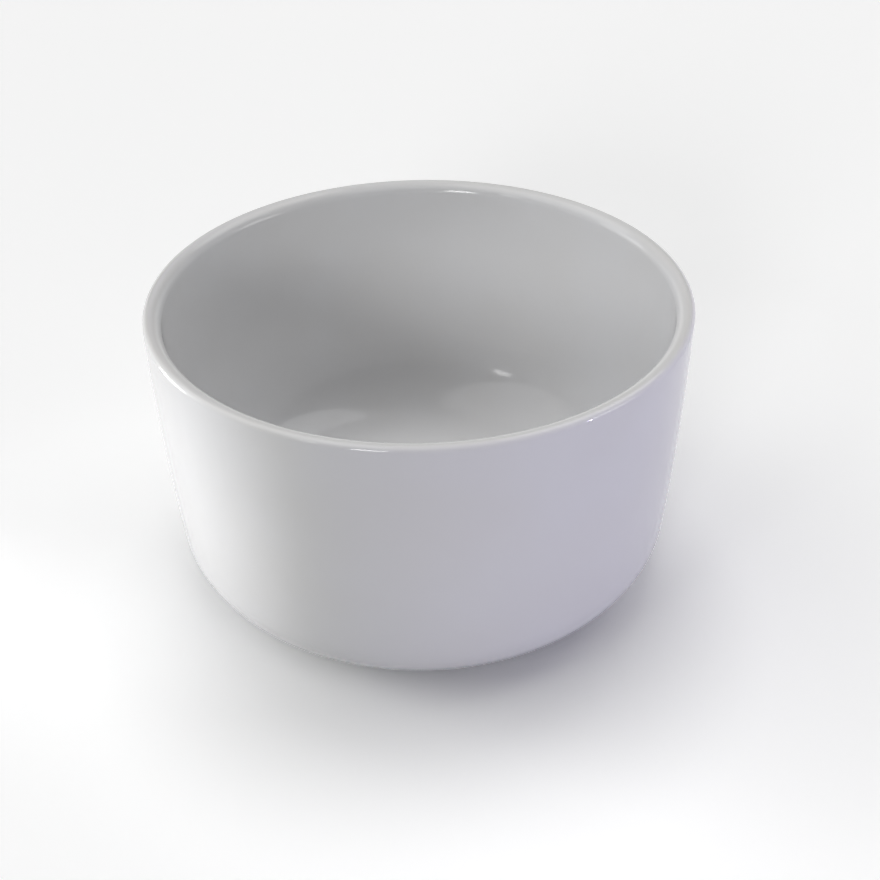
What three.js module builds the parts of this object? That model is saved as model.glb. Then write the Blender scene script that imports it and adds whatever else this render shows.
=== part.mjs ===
// A deep porcelain bowl with near-upright walls, a rounded lip and a low foot ring.
// Millimetres, +Z up, with the origin on the table under the middle of the foot.
//
// The bowl is a fired clay body with glaze fused over it. The flat of the foot ring is wiped bare
// before firing, so the glaze lies in two parts: the coat over the outside, the lip and the inside,
// and the glaze in the well that the foot ring surrounds.
import * as THREE from "three";

// Driving dimensions, over the glaze where there is glaze.
const RIM_DIAMETER = 130; // over the lip, where the bowl is widest
const HEIGHT = 75; // from the table to the top of the lip
const LIP_THICKNESS = 4.2; // where the rounding of the lip runs into the walls
const LIP_OUTER_RADIUS = 1.3; // outer half of that rounding; the inner half takes the rest
const WALL_LEAN = 0.9; // degrees off upright, outside, just under the lip
const WALL_BOW_RADIUS = 800; // slow bow of the outside wall
const WALL_THICKENING = 0.7; // degrees that the inside wall leans more than the outside
const CORNER_RADIUS = 16; // outside, from the wall to the underside
const INNER_CORNER_RADIUS = 22; // inside, from the wall to the floor
const FLOOR_THICKNESS = 7; // from the ceiling of the well to the floor inside
const FOOT_DIAMETER = 80; // outside of the foot ring
const FOOT_HEIGHT = 2.5; // from the table to the underside around the foot ring
const FOOT_FLAT = 3; // width of the bare flat that stands on the table
const FOOT_EDGE_RADIUS = 0.6; // rounding of the two edges of that flat
const FOOT_FILLET = 1; // hollow rounding between the foot ring and the underside
const WELL_DEPTH = 3.2; // from the table to the ceiling of the well
const WELL_FILLET = 1.4; // hollow rounding around that ceiling
const GLAZE_THICKNESS = 0.3;
const BARE_HEIGHT = 0.8; // height over the table where the glaze stops on the foot ring

// Finishes.
const BARE_CLAY = { color: 0xe6e2da, roughness: 0.85, metalness: 0 };
const WHITE_GLAZE = { color: 0xefeff0, roughness: 0.08, metalness: 0 };

// How finely the curves are cut.
const AROUND = 60;
const LIP_STEPS = 4; // in each half of the lip
const CORNER_STEPS = 6;
const WALL_STEPS = 4;
const FOOT_STEPS = 2; // in each small rounding of the foot
const SAME_POINT = 1e-6; // points closer than this are one

// Directions in the section through the bowl, as angles.
const OUTWARD = 0;
const UP = Math.PI / 2;
const INWARD = Math.PI;
const DOWN = -Math.PI / 2;

// Which way the surface along an arc faces.
const ROUND = 1; // away from the arc's centre
const HOLLOW = -1; // towards the arc's centre

const at = (radius, height) => new THREE.Vector2(radius, height);
const ray = (angle) => new THREE.Vector2(Math.cos(angle), Math.sin(angle));
const angleTo = (from, to) => Math.atan2(to.y - from.y, to.x - from.x);

// A point of the section, with the direction that the surface faces there.
const facing = (angle, point) => ({ point, normal: ray(angle) });

// Points of the section along an arc, both ends included.
function arc(centre, radius, from, to, steps, side) {
  return Array.from({ length: steps + 1 }, (_, step) => {
    const spoke = ray(from + ((to - from) * step) / steps);
    return {
      point: centre.clone().addScaledVector(spoke, radius),
      normal: spoke.clone().multiplyScalar(side),
    };
  });
}

// Stretches of the section end to end, without the points that repeat where they meet.
const joined = (...stretches) =>
  stretches
    .flat()
    .filter(({ point }, i, all) => i === 0 || point.distanceTo(all[i - 1].point) > SAME_POINT);

// Centre of the arc that rounds a bowed wall into a level surface.
function cornerCentre(wallCentre, wallRadius, radius, level) {
  const height = level + radius;
  const across = Math.sqrt((wallRadius - radius) ** 2 - (height - wallCentre.y) ** 2);
  return at(wallCentre.x + across, height);
}

// The lip, and the inside and outside walls that run smoothly out of it.
const lipInnerRadius = LIP_THICKNESS - LIP_OUTER_RADIUS;
const crestRadius = RIM_DIAMETER / 2 - LIP_OUTER_RADIUS;
const outerLip = at(crestRadius, HEIGHT - LIP_OUTER_RADIUS);
const innerLip = at(crestRadius, HEIGHT - lipInnerRadius);
const outerLean = THREE.MathUtils.degToRad(WALL_LEAN);
const innerLean = THREE.MathUtils.degToRad(WALL_LEAN + WALL_THICKENING);
const innerBowRadius = WALL_BOW_RADIUS - LIP_THICKNESS;
const outerReach = WALL_BOW_RADIUS - LIP_OUTER_RADIUS;
const innerReach = innerBowRadius + lipInnerRadius;
const outerWallCentre = outerLip.clone().addScaledVector(ray(-outerLean), -outerReach);
const innerWallCentre = innerLip.clone().addScaledVector(ray(-innerLean), -innerReach);

// The corners below the walls.
const floorLevel = WELL_DEPTH + FLOOR_THICKNESS;
const outerCorner = cornerCentre(outerWallCentre, WALL_BOW_RADIUS, CORNER_RADIUS, FOOT_HEIGHT);
const innerCorner = cornerCentre(innerWallCentre, innerBowRadius, INNER_CORNER_RADIUS, floorLevel);
const outerTangent = angleTo(outerWallCentre, outerCorner);
const innerTangent = angleTo(innerWallCentre, innerCorner);

// The outside of the foot ring. Its fillet runs into the level underside, or into the corner where
// the ring reaches out that far.
const footRadius = FOOT_DIAMETER / 2;
const glazeEdge = BARE_HEIGHT + GLAZE_THICKNESS;
const footFillet = Math.min(FOOT_FILLET, FOOT_HEIGHT - glazeEdge);
const pastCorner = Math.max(0, footRadius + footFillet - outerCorner.x);
const filletDrop = Math.sqrt((CORNER_RADIUS + footFillet) ** 2 - pastCorner ** 2);
const footFilletCentre = at(footRadius + footFillet, outerCorner.y - filletDrop);
const footTangent = Math.atan2(filletDrop, -pastCorner);

// Its bare flat, and the well inside it.
const bareOuterRadius = footRadius - GLAZE_THICKNESS;
const footEdge = Math.min(FOOT_EDGE_RADIUS, BARE_HEIGHT);
const bareInnerRadius = bareOuterRadius - FOOT_FLAT - 2 * footEdge;
const wellRadius = bareInnerRadius - GLAZE_THICKNESS;
const wellFillet = Math.min(WELL_FILLET, WELL_DEPTH - glazeEdge);
const wellFilletCentre = at(wellRadius - wellFillet, WELL_DEPTH - wellFillet);

// The section of the coat: from the foot ring up the outside, over the lip and in to the middle.
const coat = joined(
  facing(OUTWARD, at(footRadius, glazeEdge)),
  arc(footFilletCentre, footFillet, INWARD, footTangent, FOOT_STEPS, HOLLOW),
  arc(outerCorner, CORNER_RADIUS, footTangent - INWARD, outerTangent, CORNER_STEPS, ROUND),
  arc(outerWallCentre, WALL_BOW_RADIUS, outerTangent, -outerLean, WALL_STEPS, ROUND),
  arc(outerLip, LIP_OUTER_RADIUS, -outerLean, UP, LIP_STEPS, ROUND),
  arc(innerLip, lipInnerRadius, UP, INWARD - innerLean, LIP_STEPS, ROUND),
  arc(innerWallCentre, innerBowRadius, -innerLean, innerTangent, WALL_STEPS, HOLLOW),
  arc(innerCorner, INNER_CORNER_RADIUS, innerTangent, DOWN, CORNER_STEPS, HOLLOW),
  facing(UP, at(0, floorLevel)),
);

// The section of the well: from the middle of its ceiling out and down the inside of the foot ring.
const well = joined(
  facing(DOWN, at(0, WELL_DEPTH)),
  arc(wellFilletCentre, wellFillet, UP, OUTWARD, FOOT_STEPS, HOLLOW),
  facing(INWARD, at(wellRadius, glazeEdge)),
);

// The section of the bare foot: from the glaze of the well to the coat.
const bareFoot = joined(
  facing(INWARD, at(bareInnerRadius, BARE_HEIGHT)),
  arc(at(bareInnerRadius + footEdge, footEdge), footEdge, INWARD, INWARD + UP, FOOT_STEPS, ROUND),
  arc(at(bareOuterRadius - footEdge, footEdge), footEdge, DOWN, OUTWARD, FOOT_STEPS, ROUND),
  facing(OUTWARD, at(bareOuterRadius, BARE_HEIGHT)),
);

// The glaze ends on the section, and the clay lies one thickness of glaze under it.
const skin = (section) => section.map(({ point }) => point);
const clayUnder = (section) =>
  section.map(({ point, normal }) => point.clone().addScaledVector(normal, -GLAZE_THICKNESS));

// A solid turned around Z, from an outline that starts and ends on the axis and runs anticlockwise.
function turned(name, outline, finish) {
  const geometry = new THREE.LatheGeometry(outline, AROUND).rotateX(UP);
  const mesh = new THREE.Mesh(geometry, new THREE.MeshStandardMaterial(finish));
  mesh.name = name;
  return mesh;
}

const bodyOutline = [...clayUnder(well), ...skin(bareFoot), ...clayUnder(coat)];
const coatOutline = [...clayUnder(coat).reverse(), bareFoot.at(-1).point, ...skin(coat)];
const wellOutline = [...skin(well), bareFoot.at(0).point, ...clayUnder(well).reverse()];

const bowl = new THREE.Group();
bowl.name = "bowl";
bowl.add(
  turned("porcelain_body", bodyOutline, BARE_CLAY),
  turned("glaze_coat", coatOutline, WHITE_GLAZE),
  turned("foot_well_glaze", wellOutline, WHITE_GLAZE),
);

export default bowl;
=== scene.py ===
"""The looks of a deep white porcelain bowl: turned clay, glaze, floor, light and camera."""

import math

import bmesh
import bpy
from mathutils import Matrix, Vector


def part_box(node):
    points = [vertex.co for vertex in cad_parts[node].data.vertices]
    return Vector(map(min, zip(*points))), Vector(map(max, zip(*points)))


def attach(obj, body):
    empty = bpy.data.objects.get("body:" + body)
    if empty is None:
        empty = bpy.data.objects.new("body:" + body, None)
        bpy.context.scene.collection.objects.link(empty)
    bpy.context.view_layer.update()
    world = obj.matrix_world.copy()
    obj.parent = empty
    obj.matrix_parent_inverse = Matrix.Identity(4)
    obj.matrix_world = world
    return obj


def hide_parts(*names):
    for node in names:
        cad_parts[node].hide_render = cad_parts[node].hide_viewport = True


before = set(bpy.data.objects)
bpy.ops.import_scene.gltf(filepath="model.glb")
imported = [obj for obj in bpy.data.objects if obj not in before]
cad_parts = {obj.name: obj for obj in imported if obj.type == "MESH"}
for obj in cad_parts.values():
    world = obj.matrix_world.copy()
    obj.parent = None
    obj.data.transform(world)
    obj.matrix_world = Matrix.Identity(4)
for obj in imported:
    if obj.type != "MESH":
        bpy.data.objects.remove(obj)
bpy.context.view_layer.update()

MM = 0.001
QUARTER_TURN = math.pi / 2

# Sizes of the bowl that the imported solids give.
coat_low, coat_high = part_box("glaze_coat")
_, body_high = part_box("porcelain_body")
_, well_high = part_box("foot_well_glaze")
RIM_RADIUS = coat_high.x
HEIGHT = coat_high.z
GLAZE_THICKNESS = coat_high.x - body_high.x
BARE_HEIGHT = coat_low.z
BARE_INNER_RADIUS = well_high.x
WELL_DEPTH = well_high.z - GLAZE_THICKNESS

# Sizes of its section.
LIP_OUTER_RADIUS = 1.3 * MM
LIP_INNER_RADIUS = 2.9 * MM
WALL_LEAN = math.radians(0.9)
WALL_THICKENING = math.radians(0.7)
WALL_BOW_RADIUS = 800 * MM
CORNER_RADIUS = 16 * MM
INNER_CORNER_RADIUS = 22 * MM
FLOOR_THICKNESS = 7 * MM
FOOT_RADIUS = 40 * MM
FOOT_HEIGHT = 2.5 * MM
FOOT_EDGE_RADIUS = 0.6 * MM
FOOT_FILLET = 1 * MM
WELL_FILLET = 1.4 * MM

# How finely the pieces are turned.
AROUND = 192
WALL_STEPS = 20
CORNER_STEPS = 20
LIP_STEPS = 14
FOOT_STEPS = 8
FLAT_STEPS = 4
SAME_POINT = 0.01 * MM

# Directions in the section.
OUTWARD = 0
UP = QUARTER_TURN
INWARD = math.pi
DOWN = -QUARTER_TURN
ROUND = 1  # a surface that faces away from its arc's centre
HOLLOW = -1  # a surface that faces its arc's centre

# The camera, placed from the middle of the rim. Its sensor and lens are in millimetres.
CAMERA_DISTANCE = 334.4 * MM
CAMERA_HEIGHT_ANGLE = math.radians(28.66)
CAMERA_PITCH = math.radians(34.71)
CAMERA_YAW = math.radians(-0.72)
CAMERA_ROLL = math.radians(-1.37)
SENSOR_WIDTH = 36
LENS = 57.27

# The glaze: its tones, its roughness, and how far it is from even.
GLAZE_COOL = (0.865, 0.868, 0.880, 1)
GLAZE_WARM = (0.850, 0.848, 0.850, 1)
THIN_GLAZE = (0.80, 0.78, 0.74, 1)
POOLED_GLAZE = (0.82, 0.85, 0.87, 1)
PINHOLE_COLOUR = (0.35, 0.31, 0.27, 1)
GLAZE_ROUGHNESS = (0.05, 0.10)
DRIFT_SIZE = 35 * MM
DRIFT_RANGE = (0.35, 0.65)
THIN_LIP = 1.2 * MM
THIN_STRENGTH = 0.3
POOL_HEIGHT = 2 * MM
POOL_STRENGTH = 0.5
PINHOLE_CELL = 14 * MM
PINHOLE_RADIUS = 0.25 * MM
PINHOLE_SHARE = 0.05
PINHOLE_STRENGTH = 0.6
PINHOLE_DEPTH = 0.03 * MM
WAVE_SIZE = 14 * MM
WAVE_DEPTH = 0.03 * MM
PEEL_SIZE = 1.6 * MM
PEEL_DEPTH = 0.002 * MM
SPECK_SOFTNESS = 0.6
CLOUD_DETAIL = 2.0
CLOUD_ROUGHNESS = 0.5

# The bare clay of the foot ring.
CLAY_PALE = (0.80, 0.77, 0.71, 1)
CLAY_DEEP = (0.74, 0.70, 0.63, 1)
RUB_COLOUR = (0.52, 0.50, 0.47, 1)
CLAY_SPECK_COLOUR = (0.30, 0.24, 0.18, 1)
CLAY_ROUGHNESS = (0.92, 0.75)
SAND_SIZE = 0.5 * MM
SAND_DEPTH = 0.03 * MM
RUB_SIZE = 6 * MM
RUB_HEIGHT = 0.12 * MM
RUB_STRENGTH = 0.7
CLAY_SPECK_CELL = 2.5 * MM
CLAY_SPECK_RADIUS = 0.15 * MM
CLAY_SPECK_SHARE = 0.15
CLAY_SPECK_STRENGTH = 0.7

# The floor, which is seen whiter than the light that it throws back at the bowl.
FLOOR_COLOUR = (0.5, 0.5, 0.5, 1)
FLOOR_SEEN_COLOUR = (1.28, 1.28, 1.28, 1)
FLOOR_REACH = 5

# The room: a pale backdrop round the floor, and above it a dim ceiling.
ROOM_COLOUR = (1, 1, 1, 1)
BACKDROP_LEVEL = 0.94
BACKDROP_TOP = math.radians(6)
CEILING_LEVEL = 0.05
CEILING_START = math.radians(20)

# The lamps' colours, and the size and place of the near panel.
WHITE = (1, 1, 1)
LAVENDER = (0.67, 0.61, 1.0)
PANEL_DISTANCE = 160 * MM
PANEL_HEIGHT = 84 * MM
PANEL_MIDDLE = 43 * MM


def at(radius, height):
    """A point of the section."""
    return Vector((radius, 0, height))


def ray(angle):
    """A direction in the section, anticlockwise from outward."""
    return Vector((math.cos(angle), 0, math.sin(angle)))


def angle_to(start, end):
    return math.atan2(end.z - start.z, end.x - start.x)


class Arc:
    """A rounded stretch of the section, which the clay follows one glaze thickness below the skin."""

    def __init__(self, centre, radius, start, end, steps, side):
        self.centre = centre
        self.radius = radius
        self.start = start
        self.end = end
        self.steps = steps
        self.side = side

    def point(self, angle, depth):
        return self.centre + ray(angle) * (self.radius - self.side * depth)

    def backwards(self):
        return Arc(self.centre, self.radius, self.end, self.start, self.steps, self.side)


class Section:
    """A line through the wall of a turned piece, drawn by carrying its last vertex along."""

    def __init__(self, start):
        self.mesh = bmesh.new()
        self.tip = self.mesh.verts.new(start)

    def line_to(self, point, steps=1):
        if (point - self.tip.co).length < SAME_POINT:
            return
        stride = (point - self.tip.co) / steps
        for _ in range(steps):
            made = bmesh.ops.extrude_vert_indiv(self.mesh, verts=[self.tip])
            self.tip = made["verts"][0]
            self.tip.co += stride

    def follow(self, arcs, depth):
        for arc in arcs:
            self.line_to(arc.point(arc.start, depth), FLAT_STEPS)
            made = bmesh.ops.spin(
                self.mesh,
                geom=[self.tip],
                cent=arc.centre,
                axis=(0, -1, 0),
                angle=arc.end - arc.start,
                steps=arc.steps,
            )
            self.tip = next(v for v in made["geom_last"] if isinstance(v, bmesh.types.BMVert))

    def turned(self, name, material):
        bmesh.ops.spin(
            self.mesh,
            geom=self.mesh.verts[:] + self.mesh.edges[:],
            cent=(0, 0, 0),
            axis=(0, 0, 1),
            angle=math.tau,
            steps=AROUND,
            use_merge=True,
        )
        bmesh.ops.remove_doubles(self.mesh, verts=self.mesh.verts[:], dist=SAME_POINT)
        bmesh.ops.recalc_face_normals(self.mesh, faces=self.mesh.faces[:])
        for face in self.mesh.faces:
            face.smooth = True
        data = bpy.data.meshes.new(name)
        self.mesh.to_mesh(data)
        self.mesh.free()
        data.materials.append(material)
        piece = bpy.data.objects.new(name, data)
        bpy.context.scene.collection.objects.link(piece)
        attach(piece, "root")
        return piece


def corner_centre(wall_centre, wall_radius, radius, level):
    """The centre of the arc that rounds a bowed wall into a level surface."""
    height = level + radius
    across = math.sqrt((wall_radius - radius) ** 2 - (height - wall_centre.z) ** 2)
    return at(wall_centre.x + across, height)


# The glazed surface, from the foot ring up the outside, over the lip and in to the floor.
floor_level = WELL_DEPTH + FLOOR_THICKNESS
inner_lean = WALL_LEAN + WALL_THICKENING
inner_bow_radius = WALL_BOW_RADIUS - LIP_OUTER_RADIUS - LIP_INNER_RADIUS
crest_radius = RIM_RADIUS - LIP_OUTER_RADIUS
outer_lip = at(crest_radius, HEIGHT - LIP_OUTER_RADIUS)
inner_lip = at(crest_radius, HEIGHT - LIP_INNER_RADIUS)
outer_wall_centre = outer_lip - ray(-WALL_LEAN) * (WALL_BOW_RADIUS - LIP_OUTER_RADIUS)
inner_wall_centre = inner_lip - ray(-inner_lean) * (inner_bow_radius + LIP_INNER_RADIUS)
outer_corner = corner_centre(outer_wall_centre, WALL_BOW_RADIUS, CORNER_RADIUS, FOOT_HEIGHT)
inner_corner = corner_centre(inner_wall_centre, inner_bow_radius, INNER_CORNER_RADIUS, floor_level)
outer_tangent = angle_to(outer_wall_centre, outer_corner)
inner_tangent = angle_to(inner_wall_centre, inner_corner)
foot_fillet_centre = at(FOOT_RADIUS + FOOT_FILLET, FOOT_HEIGHT - FOOT_FILLET)
coat_arcs = [
    Arc(foot_fillet_centre, FOOT_FILLET, INWARD, UP, FOOT_STEPS, HOLLOW),
    Arc(outer_corner, CORNER_RADIUS, DOWN, outer_tangent, CORNER_STEPS, ROUND),
    Arc(outer_wall_centre, WALL_BOW_RADIUS, outer_tangent, -WALL_LEAN, WALL_STEPS, ROUND),
    Arc(outer_lip, LIP_OUTER_RADIUS, -WALL_LEAN, UP, LIP_STEPS, ROUND),
    Arc(inner_lip, LIP_INNER_RADIUS, UP, INWARD - inner_lean, LIP_STEPS, ROUND),
    Arc(inner_wall_centre, inner_bow_radius, -inner_lean, inner_tangent, WALL_STEPS, HOLLOW),
    Arc(inner_corner, INNER_CORNER_RADIUS, inner_tangent, DOWN, CORNER_STEPS, HOLLOW),
]

# The glazed surface of the well, from its ceiling down the inside of the foot ring.
well_radius = BARE_INNER_RADIUS - GLAZE_THICKNESS
well_fillet_centre = at(well_radius - WELL_FILLET, WELL_DEPTH - WELL_FILLET)
well_arcs = [Arc(well_fillet_centre, WELL_FILLET, UP, OUTWARD, FOOT_STEPS, HOLLOW)]

# The bare foot ring between them, and the rolled edges where the glaze stops on it.
bare_outer_radius = FOOT_RADIUS - GLAZE_THICKNESS
inner_edge = at(BARE_INNER_RADIUS + FOOT_EDGE_RADIUS, FOOT_EDGE_RADIUS)
outer_edge = at(bare_outer_radius - FOOT_EDGE_RADIUS, FOOT_EDGE_RADIUS)
foot_arcs = [
    Arc(inner_edge, FOOT_EDGE_RADIUS, INWARD, INWARD + UP, FOOT_STEPS, ROUND),
    Arc(outer_edge, FOOT_EDGE_RADIUS, DOWN, OUTWARD, FOOT_STEPS, ROUND),
]
glaze_edge = BARE_HEIGHT + GLAZE_THICKNESS
coat_edge = Arc(at(bare_outer_radius, glaze_edge), GLAZE_THICKNESS, DOWN, OUTWARD, FOOT_STEPS, ROUND)
well_edge = Arc(at(BARE_INNER_RADIUS, glaze_edge), GLAZE_THICKNESS, -INWARD, DOWN, FOOT_STEPS, ROUND)


def backwards(arcs):
    return [arc.backwards() for arc in reversed(arcs)]


def clay_body(material):
    """The fired clay, from the ceiling of the well round the foot and up under the coat."""
    line = Section(at(0, WELL_DEPTH + GLAZE_THICKNESS))
    line.follow(well_arcs, GLAZE_THICKNESS)
    line.follow(foot_arcs, 0)
    line.follow(coat_arcs, GLAZE_THICKNESS)
    line.line_to(at(0, floor_level - GLAZE_THICKNESS), FLAT_STEPS)
    piece = line.turned("clay_body", material)
    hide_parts("porcelain_body")


def glaze_skin(material):
    """The glaze over the outside, the lip and the inside, as a closed layer on the clay."""
    line = Section(at(0, floor_level - GLAZE_THICKNESS))
    line.follow(backwards(coat_arcs), GLAZE_THICKNESS)
    line.follow([coat_edge], 0)
    line.follow(coat_arcs, 0)
    line.line_to(at(0, floor_level), FLAT_STEPS)
    piece = line.turned("glaze_skin", material)
    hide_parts("glaze_coat")


def well_glaze(material):
    """The glaze inside the foot ring, as a closed layer on the clay."""
    line = Section(at(0, WELL_DEPTH))
    line.follow(well_arcs, 0)
    line.follow([well_edge], 0)
    line.follow(backwards(well_arcs), GLAZE_THICKNESS)
    line.line_to(at(0, WELL_DEPTH + GLAZE_THICKNESS), FLAT_STEPS)
    piece = line.turned("well_glaze", material)
    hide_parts("foot_well_glaze")


def add_node(tree, kind, inputs=None, **settings):
    """A node with its settings, and with a value or a link on each named input."""
    node = tree.nodes.new(kind)
    for name, value in settings.items():
        setattr(node, name, value)
    for name, value in (inputs or {}).items():
        if isinstance(value, bpy.types.NodeSocket):
            tree.links.new(value, node.inputs[name])
        else:
            node.inputs[name].default_value = value
    return node


def add_mix(tree, share, first, second):
    """The second colour over the first, by a share from 0 to 1."""
    node = add_node(tree, "ShaderNodeMix", data_type="RGBA")
    sockets = {socket.identifier: socket for socket in node.inputs}
    for name, value in (("Factor_Float", share), ("A_Color", first), ("B_Color", second)):
        if isinstance(value, bpy.types.NodeSocket):
            tree.links.new(value, sockets[name])
        else:
            sockets[name].default_value = value
    return next(socket for socket in node.outputs if socket.identifier == "Result_Color")


def add_ramp(tree, value, low, high, low_result=0.0, high_result=1.0):
    """A value carried from one range to another, and held at the ends."""
    inputs = {
        "Value": value,
        "From Min": low,
        "From Max": high,
        "To Min": low_result,
        "To Max": high_result,
    }
    return add_node(tree, "ShaderNodeMapRange", inputs).outputs["Result"]


def add_sum(tree, first, second):
    return add_node(tree, "ShaderNodeMath", {0: first, 1: second}, operation="ADD").outputs[0]


def add_product(tree, first, second):
    return add_node(tree, "ShaderNodeMath", {0: first, 1: second}, operation="MULTIPLY").outputs[0]


def add_larger(tree, first, second):
    return add_node(tree, "ShaderNodeMath", {0: first, 1: second}, operation="MAXIMUM").outputs[0]


def new_group(name, inputs, outputs):
    """An empty node group with named sockets, and its own input and output nodes."""
    group = bpy.data.node_groups.new(name, "ShaderNodeTree")
    for socket, value in inputs.items():
        made = group.interface.new_socket(socket, in_out="INPUT", socket_type="NodeSocketFloat")
        made.default_value = value
    for socket in outputs:
        group.interface.new_socket(socket, in_out="OUTPUT", socket_type="NodeSocketFloat")
    return group, group.nodes.new("NodeGroupInput"), group.nodes.new("NodeGroupOutput")


def make_drift_group():
    """Slow cloudy change over the surface, as a value around a half."""
    group, given, result = new_group("slow_drift", {"Size": DRIFT_SIZE}, ["Drift"])
    place = add_node(group, "ShaderNodeTexCoord").outputs["Object"]
    scale = add_node(group, "ShaderNodeMath", {0: 1.0, 1: given.outputs["Size"]}, operation="DIVIDE")
    inputs = {
        "Vector": place,
        "Scale": scale.outputs[0],
        "Detail": CLOUD_DETAIL,
        "Roughness": CLOUD_ROUGHNESS,
    }
    clouds = add_node(group, "ShaderNodeTexNoise", inputs)
    group.links.new(clouds.outputs["Fac"], result.inputs["Drift"])
    return group


def make_speck_group():
    """Small round specks, scattered over a share of the surface's cells."""
    sizes = {"Cell": PINHOLE_CELL, "Speck": PINHOLE_RADIUS, "Share": PINHOLE_SHARE}
    group, given, result = new_group("specks", sizes, ["Mask"])
    place = add_node(group, "ShaderNodeTexCoord").outputs["Object"]
    scale = add_node(group, "ShaderNodeMath", {0: 1.0, 1: given.outputs["Cell"]}, operation="DIVIDE")
    cells = add_node(group, "ShaderNodeTexVoronoi", {"Vector": place, "Scale": scale.outputs[0]})
    reach = add_product(group, cells.outputs["Distance"], given.outputs["Cell"])
    rim = add_product(group, given.outputs["Speck"], SPECK_SOFTNESS)
    near = add_ramp(group, reach, rim, given.outputs["Speck"], 1.0, 0.0)
    pick = add_node(group, "ShaderNodeSeparateColor", {"Color": cells.outputs["Color"]})
    chosen = add_node(
        group,
        "ShaderNodeMath",
        {0: pick.outputs["Red"], 1: given.outputs["Share"]},
        operation="LESS_THAN",
    )
    group.links.new(add_product(group, near, chosen.outputs[0]), result.inputs["Mask"])
    return group


def add_drift(tree, drift_group, size):
    """A value around a half that drifts over the surface in clouds of the given size."""
    return add_node(tree, "ShaderNodeGroup", {"Size": size}, node_tree=drift_group).outputs["Drift"]


def add_specks(tree, speck_group, cell, radius, share):
    """A mask of specks of the given radius, in a share of cells of the given size."""
    inputs = {"Cell": cell, "Speck": radius, "Share": share}
    return add_node(tree, "ShaderNodeGroup", inputs, node_tree=speck_group).outputs["Mask"]


def add_height(tree):
    """The height above the table."""
    place = add_node(tree, "ShaderNodeTexCoord").outputs["Object"]
    return add_node(tree, "ShaderNodeSeparateXYZ", {"Vector": place}).outputs["Z"]


def add_bump(tree, relief, shader):
    """A relief in metres, felt by the light alone."""
    bump = add_node(tree, "ShaderNodeBump", {"Height": relief, "Distance": 1.0, "Strength": 1.0})
    tree.links.new(bump.outputs["Normal"], shader.inputs["Normal"])


def new_material(name):
    material = bpy.data.materials.new(name)
    material.use_nodes = True
    return material, material.node_tree, material.node_tree.nodes["Principled BSDF"]


def make_glaze(drift_group, speck_group):
    """Clear glossy glaze over white clay: thin on the lip, pooled by the foot, and slightly uneven."""
    material, tree, shader = new_material("white_glaze")
    height = add_height(tree)
    drift = add_drift(tree, drift_group, DRIFT_SIZE)
    specks = add_specks(tree, speck_group, PINHOLE_CELL, PINHOLE_RADIUS, PINHOLE_SHARE)
    thin = add_ramp(tree, height, HEIGHT - THIN_LIP, HEIGHT, 0.0, THIN_STRENGTH)
    pooled = add_ramp(tree, height, FOOT_HEIGHT + POOL_HEIGHT, FOOT_HEIGHT, 0.0, POOL_STRENGTH)
    colour = add_mix(tree, add_ramp(tree, drift, *DRIFT_RANGE), GLAZE_COOL, GLAZE_WARM)
    colour = add_mix(tree, thin, colour, THIN_GLAZE)
    colour = add_mix(tree, pooled, colour, POOLED_GLAZE)
    colour = add_mix(tree, add_product(tree, specks, PINHOLE_STRENGTH), colour, PINHOLE_COLOUR)
    tree.links.new(colour, shader.inputs["Base Color"])
    tree.links.new(add_ramp(tree, drift, *DRIFT_RANGE, *GLAZE_ROUGHNESS), shader.inputs["Roughness"])
    wave = add_product(tree, add_drift(tree, drift_group, WAVE_SIZE), WAVE_DEPTH)
    peel = add_product(tree, add_drift(tree, drift_group, PEEL_SIZE), PEEL_DEPTH)
    pits = add_product(tree, specks, -PINHOLE_DEPTH)
    add_bump(tree, add_sum(tree, add_sum(tree, wave, peel), pits), shader)
    return material


def make_clay(drift_group, speck_group):
    """Fired clay wiped bare: matt and finely sandy, with a few dark specks and a rubbed ring."""
    material, tree, shader = new_material("bare_clay")
    drift = add_drift(tree, drift_group, RUB_SIZE)
    sand = add_drift(tree, drift_group, SAND_SIZE)
    specks = add_specks(tree, speck_group, CLAY_SPECK_CELL, CLAY_SPECK_RADIUS, CLAY_SPECK_SHARE)
    standing = add_ramp(tree, add_height(tree), RUB_HEIGHT, 0.0)
    rubbed = add_product(tree, standing, add_ramp(tree, drift, *DRIFT_RANGE, 0.0, RUB_STRENGTH))
    colour = add_mix(tree, add_ramp(tree, sand, *DRIFT_RANGE), CLAY_PALE, CLAY_DEEP)
    colour = add_mix(tree, rubbed, colour, RUB_COLOUR)
    colour = add_mix(tree, add_product(tree, specks, CLAY_SPECK_STRENGTH), colour, CLAY_SPECK_COLOUR)
    tree.links.new(colour, shader.inputs["Base Color"])
    tree.links.new(add_ramp(tree, rubbed, 0.0, 1.0, *CLAY_ROUGHNESS), shader.inputs["Roughness"])
    add_bump(tree, add_product(tree, sand, SAND_DEPTH), shader)
    return material


def add_seen(tree):
    """Whether a ray shows the surroundings: straight, in a reflection or through glass."""
    path = add_node(tree, "ShaderNodeLightPath").outputs
    mirrored = add_larger(tree, path["Is Glossy Ray"], path["Is Transmission Ray"])
    return add_larger(tree, path["Is Camera Ray"], mirrored)


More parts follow.
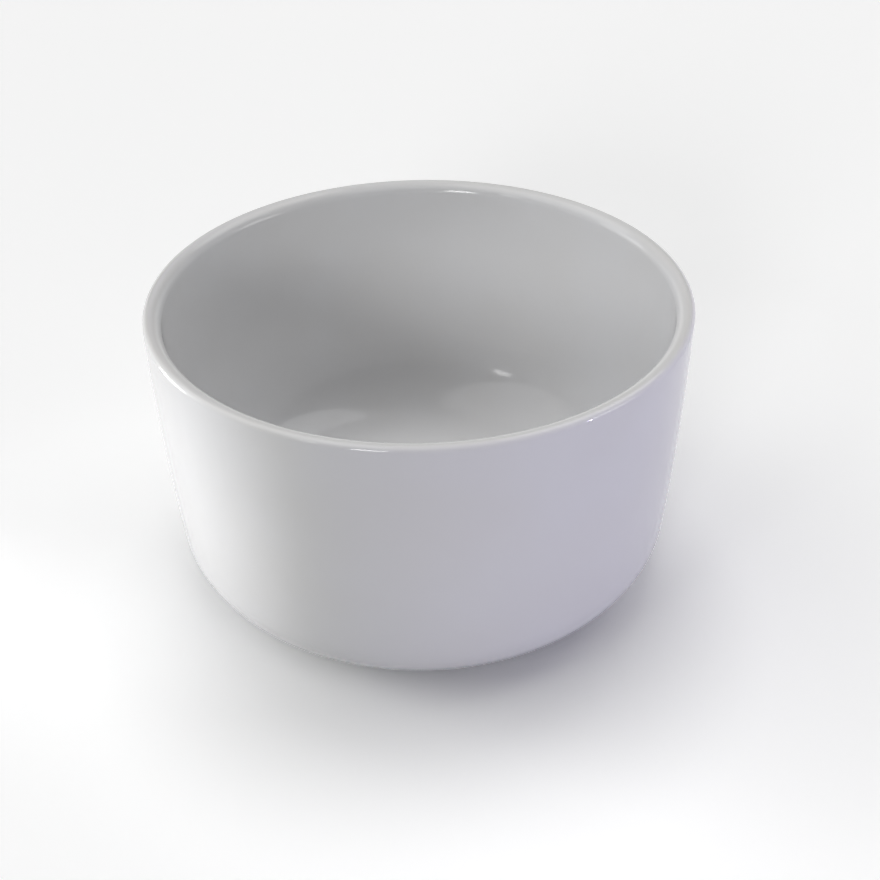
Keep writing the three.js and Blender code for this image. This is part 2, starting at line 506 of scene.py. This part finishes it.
def make_floor():
    """A plain pale floor that is seen nearly white and keeps the shadow."""
    material = bpy.data.materials.new("floor")
    material.use_nodes = True
    tree = material.node_tree
    tree.nodes.remove(tree.nodes["Principled BSDF"])
    colour = add_mix(tree, add_seen(tree), FLOOR_COLOUR, FLOOR_SEEN_COLOUR)
    shader = add_node(tree, "ShaderNodeBsdfDiffuse", {"Color": colour})
    tree.links.new(shader.outputs["BSDF"], tree.nodes["Material Output"].inputs["Surface"])
    shape = bmesh.new()
    bmesh.ops.create_grid(shape, x_segments=1, y_segments=1, size=FLOOR_REACH)
    data = bpy.data.meshes.new("floor")
    shape.to_mesh(data)
    shape.free()
    data.materials.append(material)
    floor = bpy.data.objects.new("floor", data)
    bpy.context.scene.collection.objects.link(floor)


def make_world():
    """The room as it is seen, straight or in the gloss. Its light comes from the lamps alone."""
    world = bpy.data.worlds.new("world")
    world.use_nodes = True
    tree = world.node_tree
    room = tree.nodes["Background"]
    way = add_node(tree, "ShaderNodeTexCoord").outputs["Generated"]
    rise = add_node(tree, "ShaderNodeSeparateXYZ", {"Vector": way}).outputs["Z"]
    low = math.sin(BACKDROP_TOP)
    high = math.sin(CEILING_START)
    level = add_ramp(tree, rise, low, high, BACKDROP_LEVEL, CEILING_LEVEL)
    room.inputs["Color"].default_value = ROOM_COLOUR
    tree.links.new(add_product(tree, level, add_seen(tree)), room.inputs["Strength"])
    bpy.context.scene.world = world


def add_sun(name, azimuth, elevation, spread, strength, colour=WHITE, mirrored=True):
    """A far lamp. Angles are degrees, with the azimuth from the camera's side towards the right."""
    data = bpy.data.lights.new(name, "SUN")
    data.energy = strength * math.pi
    data.angle = math.radians(spread)
    data.color = colour
    lamp = bpy.data.objects.new(name, data)
    around = Matrix.Rotation(math.radians(azimuth), 4, "Z")
    lamp.matrix_world = around @ Matrix.Rotation(QUARTER_TURN - math.radians(elevation), 4, "X")
    lamp.visible_glossy = mirrored
    bpy.context.scene.collection.objects.link(lamp)


def add_panel(name, azimuth, across, width, spread, power):
    """A near upright lamp with its beam held level, a little taller than the bowl."""
    data = bpy.data.lights.new(name, "AREA")
    data.shape = "RECTANGLE"
    data.size = width
    data.size_y = PANEL_HEIGHT
    data.spread = math.radians(spread)
    data.energy = power
    lamp = bpy.data.objects.new(name, data)
    lamp.matrix_world = (
        Matrix.Rotation(math.radians(azimuth), 4, "Z")
        @ Matrix.Translation((across, -PANEL_DISTANCE, PANEL_MIDDLE))
        @ Matrix.Rotation(QUARTER_TURN, 4, "X")
    )
    lamp.visible_camera = False
    bpy.context.scene.collection.objects.link(lamp)


def make_lamps():
    """A bright panel at the left, soft lamps from above and behind, and low fills in front."""
    add_panel("key_panel", azimuth=-116, across=74 * MM, width=50 * MM, spread=40, power=0.0186)
    add_sun("left_lamp", azimuth=-105, elevation=12, spread=30, strength=0.115)
    add_sun("left_softbox", azimuth=-90, elevation=55, spread=60, strength=0.262)
    add_sun("back_lamp", azimuth=180, elevation=70, spread=30, strength=0.272, mirrored=False)
    add_sun("right_lamp", azimuth=120, elevation=55, spread=40, strength=0.163)
    add_sun("right_fill", azimuth=75, elevation=2, spread=25, strength=0.165)
    add_sun("low_fill", azimuth=65, elevation=0.06, spread=0.1, strength=0.253, colour=LAVENDER)
    add_sun("front_lamp", azimuth=-20, elevation=16, spread=15, strength=0.191)
    add_sun("front_left_lamp", azimuth=-46, elevation=28, spread=9, strength=0.032)


def make_camera():
    """The camera of the photograph, above the bowl and a little turned."""
    data = bpy.data.cameras.new("camera")
    data.sensor_width = SENSOR_WIDTH
    data.lens = LENS
    camera = bpy.data.objects.new("camera", data)
    bpy.context.scene.collection.objects.link(camera)
    rim_centre = Vector((0, 0, HEIGHT))
    away = Vector((0, -math.cos(CAMERA_HEIGHT_ANGLE), math.sin(CAMERA_HEIGHT_ANGLE)))
    camera.matrix_world = (
        Matrix.Translation(rim_centre + away * CAMERA_DISTANCE)
        @ Matrix.Rotation(QUARTER_TURN - CAMERA_PITCH, 4, "X")
        @ Matrix.Rotation(CAMERA_YAW, 4, "Y")
        @ Matrix.Rotation(CAMERA_ROLL, 4, "Z")
    )
    bpy.context.scene.camera = camera


drift_group = make_drift_group()
speck_group = make_speck_group()
glaze = make_glaze(drift_group, speck_group)
clay = make_clay(drift_group, speck_group)
clay_body(clay)
glaze_skin(glaze)
well_glaze(glaze)
make_camera()
make_floor()
make_world()
make_lamps()
bpy.context.scene.view_settings.view_transform = "Standard"
